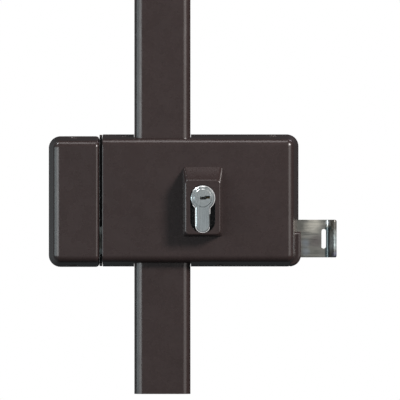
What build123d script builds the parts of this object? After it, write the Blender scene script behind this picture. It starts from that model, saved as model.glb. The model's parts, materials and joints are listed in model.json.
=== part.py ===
from build123d import *
import math
import os

# Three-point rim lock with a profile cylinder, a side keeper and covered vertical rods.
# Frame: X to the right seen from the room, Z up, Y away from the room. The door's face
# is y = 0 and the origin is the cylinder's axis on that face. Depths are measured from
# the door's face towards the room, so a depth of 10 lies at y = -10.

# Clearances
gap = 0.3
run = 0.05
snug = 0.02
rack_bolt_gap = 0.4
plug_cam_gap = 0.2
screw_head_gap = 0.2

# How far a cut runs past the wall that it opens
past = 1.0

# Case cover
case_left = -71.5
case_right = 68.5
case_bottom = -49.0
case_top = 45.5
case_depth = 32.0
case_wall = 2.0
side_draft = 7.0
outline_corner = 8.5
front_round = 5.0
case_joint_round = 0.6
side_lip_reach = 1.6
side_lip_top = -24.0
side_lip_depth = 15.0
side_lip_root = 6.0
side_lip_round = 2.0

# Keeper cover
keeper_gap = 2.3
keeper_joint_round = 2.6
keeper_length = 36.3
keeper_bottom = -49.3
keeper_top = 44.2
keeper_depth = 31.0

# Profile cylinder
cylinder_head_r = 8.5
cylinder_stem_width = 10.0
cylinder_height = 33.0
cam_depth = 17.0
cam_slot = 10.0
inner_half = 30.0
outer_half = 60.0
cylinder_bevel = 0.6
cam_room_r = 9.0
plug_r = 6.5
plug_proud = 0.4
nose_r = 3.3
nose_length = 1.8
cam_width = 7.0
clip_thickness = 0.7
clip_groove_r = 5.6
clip_outer_r = 7.4
clip_inset = 0.4
plug_edge = 0.4
pin_r = 1.35
pin_count = 5
pin_pitch = 4.0
first_pin_from_face = 5.0
driver_pin_length = 5.0
key_pin_length = 3.9
chamber_floor = 1.5
keyway_top = 1.9
keyway_bottom = 5.1
keyway_left = 1.1
keyway_right = 0.9
ward_left = 0.5
ward_right = 1.4
ward_left_step = 2.2
ward_right_step = 1.1
coupling_slot = 1.2
coupling_web = 1.6

# Gear train: toothed cam, drive wheel, pinion and three racks
tooth_module = 1.25
pressure_angle = 20.0
tooth_play = 0.12
root_clearance = 0.3
cam_teeth = 10
wheel_teeth = 36
pinion_teeth = 16
full_addendum = 1.25
wheel_addendum = 0.8
rack_addendum = 1.0
wheel_width = 6.0
wheel_hub_flats = 14.0
wheel_hole_r = 3.5
wheel_hole_count = 6
wheel_hole_place_r = 14.5
stud_r = 4.0
stud_flange_r = 7.0
circlip_thickness = 1.0
stud_groove_r = 3.1
stud_tip = 1.5
stud_edge = 0.6
circlip_r = 6.0
rack_foot_teeth = 5
rack_head_teeth = 2
bolt_head_teeth = 2
bolt_tail_teeth = 5

# Base plate
plate_thickness = 3.0
fixing_hole_r = 2.6
fixing_head_r = 4.2
fixing_spacing_x = 88.0
fixing_top = 36.0
fixing_bottom = -42.0
ear_width = 10.0
ear_thickness = 2.5
ear_reach = 14.0
top_ear_places = (-56.0, 50.0)
bottom_ear_place = 12.0

# Cover screws
cover_screw_r = 1.5
cover_screw_head_r = 3.0
cover_screw_head = 1.2
cover_screw_length = 6.7
cover_screw_depth = 9.0
cover_screw_edge = 0.5
cover_screw_floor = 0.8
cross_length = 3.6
cross_width = 0.6
cross_depth = 0.8

# Deadbolt
deadbolt_top = -5.7
deadbolt_bottom = -19.6
deadbolt_inset = 0.5
deadbolt_head_length = 23.6
deadbolt_tail_thickness = 6.0
bolt_edge = 0.8

# Latch
latch_top = -20.7
latch_bottom = -40.0
latch_thickness = 8.9
latch_reach = 11.5
latch_length = 21.0
latch_nose = 2.0
latch_bevel_length = 8.5
strap_depth = 9.5
strap_thickness = 2.5
strap_top = -26.0
strap_bottom = -36.0
strap_lap = 12.0
strap_rivet_insets = (8.4, 3.0)
rivet_r = 1.5
rivet_head_r = 2.25
rivet_head = 1.0

# Pull tab at the rear end of the latch strap
tab_top = -15.5
tab_bottom = -42.4
tab_start = 52.0
tab_bend = 90.0
tab_lip_length = 7.5
tab_lip_angle = 52.0
tab_bend_r = 3.5
tab_corner = 1.5
tab_slot_width = 3.2
tab_slot_height = 14.0
tab_slot_inset = 3.6
tab_slot_z = -29.1

# Latch spring and its rod
lug_x = -16.0
lug_reach = 21.0
spring_rod_r = 2.0
spring_rod_end = 36.0
spring_rod_edge = 0.5
spring_depth = 17.0
spring_r = 3.5
spring_wire = 0.8
guide_block_left = 24.0
guide_block_length = 10.0
guide_block_side = 3.0
guide_block_depth = 21.5
guide_block_corner = 1.0

# Bolt guide strap
bolt_guide_left = -67.0
bolt_guide_length = 10.0
bolt_guide_thickness = 2.0
bolt_guide_foot = 7.0
bolt_guide_rivet_offset = 4.5

# Rods and rod racks
rod_r = 6.0
rack_thickness = 4.0
rack_width = 6.0
rack_foot_start = 13.0
rack_foot_end = 22.0
tongue_width = 12.0
tongue_end = 56.0
lap_start = 42.0
lap_rivet_inset = 3.5
lap_rivet_length = 11.0
rod_chamfer = 1.5

# Rod covers and end guides
cover_width = 40.0
cover_depth = 22.0
cover_wall = 1.5
cover_round = 6.0
cover_tuck = 3.9
upper_cover_end = 145.5
lower_cover_end = -139.7
guide_thickness = 14.0
guide_inset = 4.0
rod_tip_inset = 2.0
guide_hole_r = 2.25
guide_head_r = 4.5
guide_head_depth = 12.0
guide_hole_inset = 5.9
side_screw_r = 1.4
side_screw_head_r = 3.0
side_screw_length = 4.5
side_screw_depth = 4.5

# Cylinder guard
guard_face_half_width = 12.75
guard_base_half_width = 14.1
guard_face_top = 12.6
guard_face_bottom = -26.2
guard_base_top = 22.0
guard_base_bottom = -27.4
guard_height = 14.5
guard_face_corner = 3.2
guard_base_corner = 2.0
guard_edge = 1.2
guard_recess_width = 17.8
guard_recess_top = 9.4
guard_recess_bottom = -25.0
guard_screw_x = 7.0
guard_screw_z = 15.5
guard_screw_r = 1.5
guard_screw_head_r = 2.8
guard_screw_head = 1.8
guard_screw_bite = 6.0

# Cylinder bracket and its screw
bracket_thickness = 2.5
bracket_bottom = -22.5
bracket_height = 11.0
bracket_reach = 24.0
bracket_foot = 13.0
bracket_rivet_offset = 9.1
cylinder_screw_r = 2.5
cylinder_screw_z = -17.0
cylinder_screw_head_r = 4.3
cylinder_screw_head = 4.0
cylinder_screw_length = 11.5
hex_socket_r = 2.0
hex_socket_depth = 2.5

# Keeper bracket
keeper_flange_reach = 26.0
keeper_hole_column = -101.0
keeper_hole_row = 33.0
keeper_hole_spacing_x = 16.0
keeper_hole_spacing_z = 30.0
keeper_side_hole_top = -8.0
keeper_screw_x = -92.0

# Places worked out from the sizes above
pitch = math.pi * tooth_module
cam_pitch_r = cam_teeth * tooth_module / 2
wheel_pitch_r = wheel_teeth * tooth_module / 2
pinion_pitch_r = pinion_teeth * tooth_module / 2
rod_x = -(cam_pitch_r + wheel_pitch_r)
wheel_axis = Axis((rod_x, 0, 0), (0, 1, 0))
rack_depth = plate_thickness + gap
rod_depth = rack_depth + rod_r
wheel_back = cam_depth - wheel_width / 2
wheel_front = cam_depth + wheel_width / 2
slot_back = cam_depth - cam_slot / 2
cam_back = cam_depth - cam_width / 2
cam_front = cam_depth + cam_width / 2
plug_end_back = cam_back - plug_cam_gap
plug_end_front = cam_front + plug_cam_gap
cylinder_front = cam_depth + inner_half
cylinder_back = cam_depth - outer_half
cylinder_bottom = cylinder_head_r - cylinder_height
draft_tan = math.tan(math.radians(side_draft))
keeper_right = case_left - keeper_gap
keeper_left = keeper_right - keeper_length
deadbolt_tail_back = rack_depth + rack_thickness + rack_bolt_gap
deadbolt_front = deadbolt_tail_back + deadbolt_tail_thickness
bolt_window_depth = deadbolt_front + 2 * gap
strap_middle = (strap_top + strap_bottom) / 2


def front(depth):
    """Plane parallel to the door, a depth in front of it, facing the room."""
    return Plane.XZ.offset(depth)


def inset_at(depth, wall):
    """How far the inner face of a drafted side wall stands inside the outline."""
    return wall + depth * draft_tan


ear_top = case_top - inset_at(ear_reach, case_wall) - gap
ear_bottom = case_bottom + inset_at(ear_reach, case_wall) + gap
keeper_ear_top = keeper_top - inset_at(ear_reach, case_wall) - gap
keeper_ear_bottom = keeper_bottom + inset_at(ear_reach, case_wall) + gap


# Shapes that more than one piece uses
def hood(left, right, bottom, top, depth, corner, cut_at, keep):
    """Drafted block on the door's face, cut square on the side of the joint."""
    beyond = 3 * outline_corner
    low = left if keep is Keep.BOTTOM else left - beyond
    high = right if keep is Keep.TOP else right + beyond
    with BuildPart() as block:
        with BuildSketch(front(0)):
            with Locations(((low + high) / 2, (bottom + top) / 2)):
                RectangleRounded(high - low, top - bottom, corner)
        extrude(amount=depth, taper=side_draft)
        split(bisect_by=Plane.YZ.offset(cut_at), keep=keep)
    return block.part


def hood_room(left, right, bottom, top, depth, cut_at, keep):
    """Room inside a hood cover, a wall's thickness from its outside."""
    w = case_wall
    inner_cut = cut_at + (w if keep is Keep.TOP else -w)
    return hood(
        left + w, right - w, bottom + w, top - w, depth - w, outline_corner - w, inner_cut, keep
    )


def hood_cover(left, right, bottom, top, depth, cut_at, keep, joint_round):
    """Hollow cover with rounded front edges and one square side."""
    with BuildPart() as cover:
        add(hood(left, right, bottom, top, depth, outline_corner, cut_at, keep))
        face = cover.faces().sort_by(Axis.Y)[0]
        rim = face.edges().filter_by(lambda e: abs(e.center().X - cut_at) > joint_round)
        fillet(rim, front_round)
        side = cover.faces().filter_by(lambda f: abs(f.center().X - cut_at) < snug)[0]
        fillet(side.edges().filter_by(lambda e: e.center().Y < -joint_round / 2), joint_round)
        add(hood_room(left, right, bottom, top, depth, cut_at, keep), mode=Mode.SUBTRACT)
    return cover.part


def involute(base_r, radius):
    """Involute function of the pressure angle at a radius."""
    angle = math.acos(min(1.0, base_r / radius))
    return math.tan(angle) - angle


def polar(radius, angle):
    return (radius * math.cos(angle), radius * math.sin(angle))


def gear_face(teeth, addendum, dedendum, phase):
    """Outline of a spur gear, with its first tooth at the phase angle in degrees."""
    pitch_r = teeth * tooth_module / 2
    base_r = pitch_r * math.cos(math.radians(pressure_angle))
    root_r = pitch_r - dedendum
    tip_r = pitch_r + addendum
    middle_r = (base_r + tip_r) / 2
    half = math.pi / (2 * teeth) - tooth_play / (2 * pitch_r)
    half_base = half + involute(base_r, pitch_r)
    half_middle = half_base - involute(base_r, middle_r)
    half_tip = half_base - involute(base_r, tip_r)
    step = 2 * math.pi / teeth
    with BuildSketch() as face:
        with BuildLine():
            for tooth in range(teeth):
                at = math.radians(phase) + tooth * step
                Line(polar(root_r, at - half_base), polar(base_r, at - half_base))
                ThreePointArc(
                    polar(base_r, at - half_base),
                    polar(middle_r, at - half_middle),
                    polar(tip_r, at - half_tip),
                )
                ThreePointArc(
                    polar(tip_r, at - half_tip), polar(tip_r, at), polar(tip_r, at + half_tip)
                )
                ThreePointArc(
                    polar(tip_r, at + half_tip),
                    polar(middle_r, at + half_middle),
                    polar(base_r, at + half_base),
                )
                Line(polar(base_r, at + half_base), polar(root_r, at + half_base))
                ThreePointArc(
                    polar(root_r, at + half_base),
                    polar(root_r, at + step / 2),
                    polar(root_r, at + step - half_base),
                )
        make_face()
    return face.sketch


def rack_points(first, last):
    """Rack teeth along u with tips at +v, from tooth number first up to last."""
    dedendum = full_addendum + root_clearance
    slope = math.tan(math.radians(pressure_angle))
    half = (pitch / 2 - tooth_play) / 2
    points = []
    for tooth in range(first, last):
        middle = (tooth + 0.5) * pitch
        points.append((middle - half - dedendum * slope, -dedendum))
        points.append((middle - half + rack_addendum * slope, rack_addendum))
        points.append((middle + half - rack_addendum * slope, rack_addendum))
        points.append((middle + half + dedendum * slope, -dedendum))
    return points


def profile_face(grow):
    """Section of the profile cylinder: a round head over a narrow round-ended stem."""
    with BuildSketch() as face:
        Circle(cylinder_head_r + grow)
        stem_r = cylinder_stem_width / 2
        with Locations((0, (cylinder_bottom + stem_r) / 2)):
            Rectangle(cylinder_stem_width + 2 * grow, -cylinder_bottom - stem_r)
        with Locations((0, cylinder_bottom + stem_r)):
            Circle(stem_r + grow)
    return face.sketch


def channel_face(grow):
    """Outer section of a rod cover across the rods, open on the door's side."""
    width = cover_width + 2 * grow
    depth = cover_depth + grow
    with BuildSketch() as face:
        with Locations((rod_x, -depth / 2)):
            Rectangle(width, depth)
        corners = face.vertices().group_by(Axis.Y)[0]
        fillet(corners, cover_round + grow)
    return face.sketch


def cover_screw():
    """Small cheese-head screw with its head's underside at the origin, pointing down."""
    with BuildPart() as screw:
        with BuildSketch(Plane.XY):
            Circle(cover_screw_head_r)
        extrude(amount=cover_screw_head)
        fillet(screw.faces().sort_by(Axis.Z)[-1].edges(), cover_screw_edge)
        with BuildSketch(Plane.XY.offset(-cover_screw_length)):
            Circle(cover_screw_r)
        extrude(amount=cover_screw_length)
        with BuildSketch(Plane.XY.offset(cover_screw_head)):
            Rectangle(cross_length, cross_width)
            Rectangle(cross_width, cross_length)
        extrude(amount=-cross_depth, mode=Mode.SUBTRACT)
    return screw.part


def side_screw():
    """Countersunk screw with its head's top at the origin, pointing down."""
    with BuildPart() as screw:
        with BuildSketch(Plane.XZ):
            with BuildLine():
                Polyline(
                    (0, 0),
                    (side_screw_head_r, 0),
                    (side_screw_r, -cover_wall),
                    (side_screw_r, -side_screw_length),
                    (0, -side_screw_length),
                    close=True,
                )
            make_face()
        revolve(axis=Axis.Z)
        with BuildSketch(Plane.XY):
            Rectangle(cross_length, cross_width)
            Rectangle(cross_width, cross_length)
        extrude(amount=-cross_depth, mode=Mode.SUBTRACT)
    return screw.part


def split_ring(inner_r, outer_r, depth, thickness, middle_x):
    """Flat retaining ring, open at its foot."""
    with BuildPart() as ring:
        with BuildSketch(front(depth)):
            with Locations((middle_x, 0)):
                Circle(outer_r)
                Circle(inner_r, mode=Mode.SUBTRACT)
            with Locations((middle_x, -outer_r)):
                Rectangle(inner_r, 2 * (outer_r - inner_r) + inner_r, mode=Mode.SUBTRACT)
        extrude(amount=thickness)
    return ring.part


# Base plate with its lock edge, fixing holes and three ears for the cover's screws
with BuildPart() as base_plate:
    plate_right = case_right - inset_at(plate_thickness, case_wall) - gap
    plate_left = case_left - keeper_gap + run
    plate_corner = outline_corner - case_wall + gap
    with BuildSketch(front(0)) as plate_outline:
        with Locations(((plate_left + plate_right) / 2, (ear_bottom + ear_top) / 2)):
            Rectangle(plate_right - plate_left, ear_top - ear_bottom)
        fillet(plate_outline.vertices().group_by(Axis.X)[-1], plate_corner)
        with Locations(((plate_left + case_left - gap) / 2, (case_bottom + case_top) / 2)):
            Rectangle(case_left - plate_left - gap, case_top - case_bottom - 2 * gap)
        add(profile_face(2 * gap), mode=Mode.SUBTRACT)
    extrude(amount=plate_thickness)
    with BuildSketch(front(plate_thickness)):
        for ear_x in top_ear_places:
            with Locations((ear_x, ear_top - ear_thickness / 2)):
                Rectangle(ear_width, ear_thickness)
        with Locations((bottom_ear_place, ear_bottom + ear_thickness / 2)):
            Rectangle(ear_width, ear_thickness)
    extrude(amount=ear_reach - plate_thickness)
    with BuildSketch(Plane.XY.offset(ear_top)):
        with Locations(*[(ear_x, -cover_screw_depth) for ear_x in top_ear_places]):
            Circle(cover_screw_r + snug)
    extrude(amount=-ear_thickness, mode=Mode.SUBTRACT)
    with BuildSketch(Plane.XY.offset(ear_bottom)):
        with Locations((bottom_ear_place, -cover_screw_depth)):
            Circle(cover_screw_r + snug)
    extrude(amount=ear_thickness, mode=Mode.SUBTRACT)
    fixing_middle_z = (fixing_top + fixing_bottom) / 2
    with Locations(front(plate_thickness)):
        with Locations((0, fixing_middle_z)):
            with GridLocations(fixing_spacing_x, fixing_top - fixing_bottom, 2, 2):
                CounterSinkHole(fixing_hole_r, fixing_head_r, counter_sink_angle=90)
    with BuildSketch(front(0)):
        with Locations((rod_x, 0)):
            Circle(stud_r + snug)
    extrude(amount=plate_thickness, mode=Mode.SUBTRACT)

# Stud that carries the drive wheel, riveted into the base plate
with BuildPart() as gear_stud:
    stud_end = wheel_front + gap + 2 * circlip_thickness + stud_tip
    with BuildSketch(front(0)):
        with Locations((rod_x, 0)):
            Circle(stud_r)
    extrude(amount=stud_end)
    fillet(gear_stud.faces().sort_by(Axis.Y)[0].edges(), stud_edge)
    with BuildSketch(front(wheel_front + gap + circlip_thickness)):
        with Locations((rod_x, 0)):
            Circle(stud_r)
            Circle(stud_groove_r, mode=Mode.SUBTRACT)
    extrude(amount=circlip_thickness, mode=Mode.SUBTRACT)

with BuildPart() as stud_washer:
    with BuildSketch(front(wheel_front + run)):
        with Locations((rod_x, 0)):
            Circle(stud_flange_r)
            Circle(stud_r + run, mode=Mode.SUBTRACT)
    extrude(amount=circlip_thickness)

with BuildPart() as stud_circlip:
    circlip_depth = wheel_front + gap + circlip_thickness + run
    add(
        split_ring(
            stud_groove_r + snug,
            circlip_r,
            circlip_depth,
            circlip_thickness - 2 * run,
            rod_x,
        )
    )

# Drive wheel, and the long pinion whose six-sided hub it sits on
with BuildPart() as drive_wheel:
    with BuildSketch(front(wheel_back)):
        with Locations((rod_x, 0)):
            add(gear_face(wheel_teeth, wheel_addendum, full_addendum + root_clearance, 0))
            hub_r = wheel_hub_flats / 2 + snug
            RegularPolygon(hub_r, 6, major_radius=False, mode=Mode.SUBTRACT)
            with PolarLocations(wheel_hole_place_r, wheel_hole_count):
                Circle(wheel_hole_r, mode=Mode.SUBTRACT)
    extrude(amount=wheel_width)

with BuildPart() as drive_pinion:
    with BuildSketch(front(rack_depth)):
        with Locations((rod_x, 0)):
            add(gear_face(pinion_teeth, full_addendum, rack_addendum + root_clearance, 0))
    extrude(amount=wheel_back - rack_depth)
    with BuildSketch(front(wheel_back)):
        with Locations((rod_x, 0)):
            RegularPolygon(wheel_hub_flats / 2, 6, major_radius=False)
    extrude(amount=wheel_width)
    with BuildSketch(front(rack_depth)):
        with Locations((rod_x, 0)):
            Circle(stud_r + run)
    extrude(amount=wheel_front - rack_depth, mode=Mode.SUBTRACT)

# Rod racks: a toothed strip beside the pinion and a tongue on the rods' line
with BuildPart() as upper_rack:
    rack_line = rod_x - pinion_pitch_r
    rack_root = rack_line - full_addendum - root_clearance
    rack_outer = rack_root - rack_width
    tooth_line = rack_points(-rack_foot_teeth, rack_head_teeth)
    teeth = [(rack_line + v, u) for u, v in tooth_line]
    tongue_left = rod_x - tongue_width / 2
    tongue_right = rod_x + tongue_width / 2
    with BuildSketch(front(rack_depth)):
        with BuildLine():
            Polyline(
                (rack_outer, teeth[0][1]),
                *teeth,
                (rack_root, rack_foot_start),
                (tongue_right, rack_foot_start),
                (tongue_right, tongue_end),
                (tongue_left, tongue_end),
                (tongue_left, rack_foot_end),
                (rack_outer, rack_foot_end),
                close=True,
            )
        make_face()
    extrude(amount=rack_thickness)
    lap_rivets = [(rod_x, lap_start + lap_rivet_inset), (rod_x, tongue_end - lap_rivet_inset)]
    with BuildSketch(front(rack_depth)):
        with Locations(*lap_rivets):
            Circle(rivet_r)
    extrude(amount=rack_thickness, mode=Mode.SUBTRACT)

with BuildPart() as lower_rack:
    add(upper_rack.part.rotate(wheel_axis, 180))


def round_rod(tip):
    """Upward rod, half cut away at its foot where it laps the rack's tongue."""
    with BuildPart() as rod:
        with BuildSketch(Plane.XY.offset(lap_start)):
            with Locations((rod_x, -rod_depth)):
                Circle(rod_r)
        extrude(amount=tip - lap_start)
        chamfer(rod.faces().sort_by(Axis.Z)[-1].edges(), rod_chamfer)
        with BuildSketch(Plane.XY.offset(lap_start)):
            with Locations((rod_x, -(rack_depth + rack_thickness) / 2)):
                Rectangle(3 * rod_r, rack_depth + rack_thickness)
        extrude(amount=tongue_end + snug - lap_start, mode=Mode.SUBTRACT)
        with BuildSketch(front(rack_depth)):
            with Locations(*lap_rivets):
                Circle(rivet_r)
        extrude(amount=3 * rod_r, mode=Mode.SUBTRACT)
    return rod.part


with BuildPart() as upper_rod:
    add(round_rod(upper_cover_end - rod_tip_inset))

with BuildPart() as lower_rod:
    add(round_rod(-lower_cover_end - rod_tip_inset).rotate(wheel_axis, 180))

with BuildPart() as upper_rod_rivets:
    with BuildSketch(front(rack_depth)):
        with Locations(*lap_rivets):
            Circle(rivet_r - snug / 2)
    extrude(amount=lap_rivet_length)

with BuildPart() as lower_rod_rivets:
    add(upper_rod_rivets.part.rotate(wheel_axis, 180))

# Deadbolt: a full head, and a thinner toothed tail that passes under the pinion
with BuildPart() as deadbolt:
    head_left = case_left + deadbolt_inset
    head_right = head_left + deadbolt_head_length
    tooth_line = rack_points(-bolt_head_teeth, bolt_tail_teeth)
    tail_teeth = [(rod_x + u, v - pinion_pitch_r) for u, v in tooth_line]
    tail_root = tail_teeth[0][1]
    with BuildSketch(front(deadbolt_tail_back)):
        with BuildLine():
            Polyline(
                (head_left, deadbolt_bottom),
                (head_left, deadbolt_top),
                (head_right, deadbolt_top),
                (head_right, tail_root),
                *tail_teeth,
                (tail_teeth[-1][0], deadbolt_bottom),
                close=True,
            )
        make_face()
    extrude(amount=deadbolt_tail_thickness)
    with BuildSketch(front(rack_depth)):
        with Locations(((head_left + head_right) / 2, (deadbolt_top + deadbolt_bottom) / 2)):
            Rectangle(head_right - head_left, deadbolt_top - deadbolt_bottom)
    extrude(amount=deadbolt_tail_back - rack_depth)
    nose = deadbolt.faces().sort_by(Axis.X)[0]
    chamfer(nose.edges(), bolt_edge)

# Latch: bevelled head, strap with its pull tab, rivets, spring and spring rod
latch_tip = case_left - latch_reach
latch_back = latch_tip + latch_length
with BuildPart() as latch_head:
    latch_front = rack_depth + latch_thickness
    with BuildSketch(Plane.XY.offset(latch_bottom)):
        with BuildLine():
            Polyline(
                (latch_tip, -latch_front),
                (latch_back, -latch_front),
                (latch_back, -rack_depth),
                (latch_tip + latch_bevel_length, -rack_depth),
                (latch_tip, -latch_front + latch_nose),
                close=True,
            )
        make_face()
    extrude(amount=latch_top - latch_bottom)
    fillet(latch_head.edges().filter_by(Axis.Z).group_by(Axis.X)[0], bolt_edge / 2)
    with BuildSketch(front(strap_depth)):
        with Locations((latch_back - strap_lap / 2, strap_middle)):
            Rectangle(strap_lap, strap_top - strap_bottom + 2 * run)
    extrude(amount=latch_thickness, mode=Mode.SUBTRACT)
    latch_rivet_places = [(latch_back - inset, strap_middle) for inset in strap_rivet_insets]
    with BuildSketch(front(rack_depth)):
        with Locations(*latch_rivet_places):
            Circle(rivet_r)
    extrude(amount=latch_thickness, mode=Mode.SUBTRACT)

with BuildPart() as latch_strap:
    strap_left = latch_back - strap_lap + snug
    with BuildSketch(front(strap_depth)):
        with Locations(((strap_left + tab_start) / 2, strap_middle)):
            Rectangle(tab_start - strap_left, strap_top - strap_bottom)
        with Locations(*latch_rivet_places):
            Circle(rivet_r, mode=Mode.SUBTRACT)
    extrude(amount=strap_thickness)
    strap_core = -strap_depth - strap_thickness / 2
    lip_angle = math.radians(tab_lip_angle)
    lip_end = (
        tab_bend + tab_lip_length * math.cos(lip_angle),
        strap_core - tab_lip_length * math.sin(lip_angle),
    )
    with BuildSketch(Plane.XY.offset(tab_bottom)):
        with BuildLine():
            FilletPolyline(
                (tab_start, strap_core), (tab_bend, strap_core), lip_end, radius=tab_bend_r
            )
        trace(line_width=strap_thickness)
    extrude(amount=tab_top - tab_bottom)
    lip_edges = latch_strap.faces().sort_by(Axis.X)[-1].edges()
    fillet(lip_edges.filter_by(lambda e: abs(e.length - strap_thickness) < snug), tab_corner)
    with BuildSketch(front(strap_depth - past)):
        with Locations((tab_bend - tab_slot_inset, tab_slot_z)):
            SlotOverall(tab_slot_height, tab_slot_width, rotation=90)
    extrude(amount=strap_thickness + 2 * past, mode=Mode.SUBTRACT)
    with BuildSketch(front(strap_depth)):
        with Locations((lug_x + strap_thickness / 2, strap_middle)):
            Rectangle(strap_thickness, strap_top - strap_bottom)
    extrude(amount=lug_reach - strap_depth)
    with BuildSketch(Plane.YZ.offset(lug_x)):
        with Locations((-spring_depth, strap_middle)):
            Circle(spring_rod_r)
    extrude(amount=strap_thickness, mode=Mode.SUBTRACT)

with BuildPart() as latch_rivets:
    with BuildSketch(front(rack_depth)):
        with Locations(*latch_rivet_places):
            Circle(rivet_r - snug / 2)
    extrude(amount=strap_depth + strap_thickness - rack_depth)

with BuildPart() as spring_rod:
    with BuildSketch(Plane.YZ.offset(lug_x)):
        with Locations((-spring_depth, strap_middle)):
            Circle(spring_rod_r - snug / 2)
    extrude(amount=spring_rod_end - lug_x)
    chamfer(spring_rod.faces().sort_by(Axis.X)[-1].edges(), spring_rod_edge)

with BuildPart() as latch_spring:
    spring_left = lug_x + strap_thickness + snug
    with BuildSketch(Plane.YZ.offset(spring_left)):
        with Locations((-spring_depth, strap_middle)):
            Circle(spring_r)
            Circle(spring_r - spring_wire, mode=Mode.SUBTRACT)
    extrude(amount=guide_block_left - snug - spring_left)

# Moulded block that guides the strap and backs the spring
with BuildPart() as strap_guide:
    block_top = strap_top + guide_block_side
    block_bottom = strap_bottom - guide_block_side
    with BuildSketch(front(plate_thickness)):
        middle = (guide_block_left + guide_block_length / 2, (block_top + block_bottom) / 2)
        with Locations(middle):
            RectangleRounded(guide_block_length, block_top - block_bottom, guide_block_corner)
    extrude(amount=guide_block_depth - plate_thickness)
    with BuildSketch(Plane.YZ.offset(guide_block_left)):
        with Locations((strap_core, strap_middle)):
            Rectangle(strap_thickness + 2 * gap, strap_top - strap_bottom + 2 * gap)
        with Locations((-spring_depth, strap_middle)):
            Circle(spring_rod_r + gap)
    extrude(amount=guide_block_length, mode=Mode.SUBTRACT)

# Folded steel strap that holds the heads of the deadbolt and the latch down
with BuildPart() as bolt_guide:
    guide_top = deadbolt_top + gap
    guide_bottom = latch_bottom - gap
    inner_depth = deadbolt_front + gap
    outer_depth = inner_depth + bolt_guide_thickness
    t = bolt_guide_thickness
    guide_rivet_place = (bolt_guide_left + bolt_guide_length / 2, guide_top + bolt_guide_rivet_offset)
    with BuildSketch(Plane.YZ.offset(bolt_guide_left)):
        with BuildLine():
            Polyline(
                (-plate_thickness, guide_bottom - t),
                (-outer_depth, guide_bottom - t),
                (-outer_depth, guide_top + t),
                (-plate_thickness - t, guide_top + t),
                (-plate_thickness - t, guide_top + bolt_guide_foot),
                (-plate_thickness, guide_top + bolt_guide_foot),
                (-plate_thickness, guide_top),
                (-inner_depth, guide_top),
                (-inner_depth, guide_bottom),
                (-plate_thickness, guide_bottom),
                close=True,
            )
        make_face()
    extrude(amount=bolt_guide_length)
    with BuildSketch(front(plate_thickness)):
        with Locations(guide_rivet_place):
            Circle(rivet_r)
    extrude(amount=2 * t, mode=Mode.SUBTRACT)

with BuildPart() as bolt_guide_rivet:
    with BuildSketch(front(plate_thickness)):
        with Locations(guide_rivet_place):
            Circle(rivet_r - snug / 2)
    extrude(amount=bolt_guide_thickness)
    with BuildSketch(front(plate_thickness + bolt_guide_thickness)):
        with Locations(guide_rivet_place):
            Circle(rivet_head_r)
    extrude(amount=rivet_head)

# Profile cylinder: body, two plugs, cam with its coupling, clips and pin stacks
with BuildPart() as cylinder_body:
    with BuildSketch(front(cylinder_back)):
        add(profile_face(0))
        Circle(plug_r + run, mode=Mode.SUBTRACT)
    extrude(amount=cylinder_front - cylinder_back)
    ends = cylinder_body.faces().filter_by(Plane.XZ).sort_by(Axis.Y)
    rims = ends[0].outer_wire().edges() + ends[-1].outer_wire().edges()
    chamfer(rims, cylinder_bevel)
    with BuildSketch(front(slot_back)):
        with Locations((0, 0)):
            Rectangle(3 * cylinder_head_r, 2 * cam_room_r)
    extrude(amount=cam_slot, mode=Mode.SUBTRACT)
    inner_pin_places = [
        first_pin_from_face - cylinder_front + k * pin_pitch for k in range(pin_count)
    ]
    outer_pin_places = [
        -cylinder_back - first_pin_from_face - k * pin_pitch for k in range(pin_count)
    ]
    with BuildSketch(Plane.XY.offset(cylinder_bottom + chamber_floor)):
        with Locations(*[(0, y) for y in inner_pin_places + outer_pin_places]):
            Circle(pin_r + run)
    extrude(amount=-cylinder_bottom - chamber_floor, mode=Mode.SUBTRACT)
    with BuildSketch(Plane.YZ.offset(-cylinder_stem_width)):
        with Locations((-cam_depth, cylinder_screw_z)):
            Circle(cylinder_screw_r + snug)
    extrude(amount=2 * cylinder_stem_width, mode=Mode.SUBTRACT)


def plug(face_depth, end_depth, turn):
    """Key plug from its face to its cam end, with the keyway turned from straight down."""
    outward = 1 if face_depth > end_depth else -1
    groove = end_depth + outward * clip_inset
    with BuildPart() as body:
        with BuildSketch(front(end_depth)):
            Circle(plug_r)
        extrude(amount=face_depth - end_depth)
        rim = body.faces().sort_by(Axis.Y)[0 if outward > 0 else -1]
        chamfer(rim.edges(), plug_edge)
        with BuildSketch(front(groove)):
            Circle(plug_r)
            Circle(clip_groove_r, mode=Mode.SUBTRACT)
        extrude(amount=outward * clip_thickness, mode=Mode.SUBTRACT)
        with BuildSketch(front(end_depth)):
            Circle(nose_r)
        extrude(amount=-outward * nose_length)
        with BuildSketch(front(end_depth)):
            with BuildLine(Plane.XY.rotated((0, 0, turn))):
                Polyline(
                    (-keyway_left, keyway_top),
                    (-keyway_left, -ward_left_step),
                    (-ward_left, -ward_left_step - keyway_left + ward_left),
                    (-ward_left, -keyway_bottom),
                    (ward_right, -keyway_bottom),
                    (ward_right, -ward_right_step - ward_right + keyway_right),
                    (keyway_right, -ward_right_step),
                    (keyway_right, keyway_top),
                    close=True,
                )
            make_face()
        extrude(amount=face_depth - end_depth, mode=Mode.SUBTRACT)
    return body.part


inner_face = cylinder_front + plug_proud
outer_face = cylinder_back - plug_proud
inner_bores = [(y, 0) for y in inner_pin_places]
outer_bores = [(0, y) for y in outer_pin_places]
key_pin_end = math.sqrt((plug_r - run) ** 2 - pin_r**2)

with BuildPart() as inner_plug:
    add(plug(inner_face, plug_end_front, 90))
    with BuildSketch(Plane.YZ.offset(keyway_top / 2)):
        with Locations(*inner_bores):
            Circle(pin_r + run)
    extrude(amount=plug_r, mode=Mode.SUBTRACT)

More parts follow.
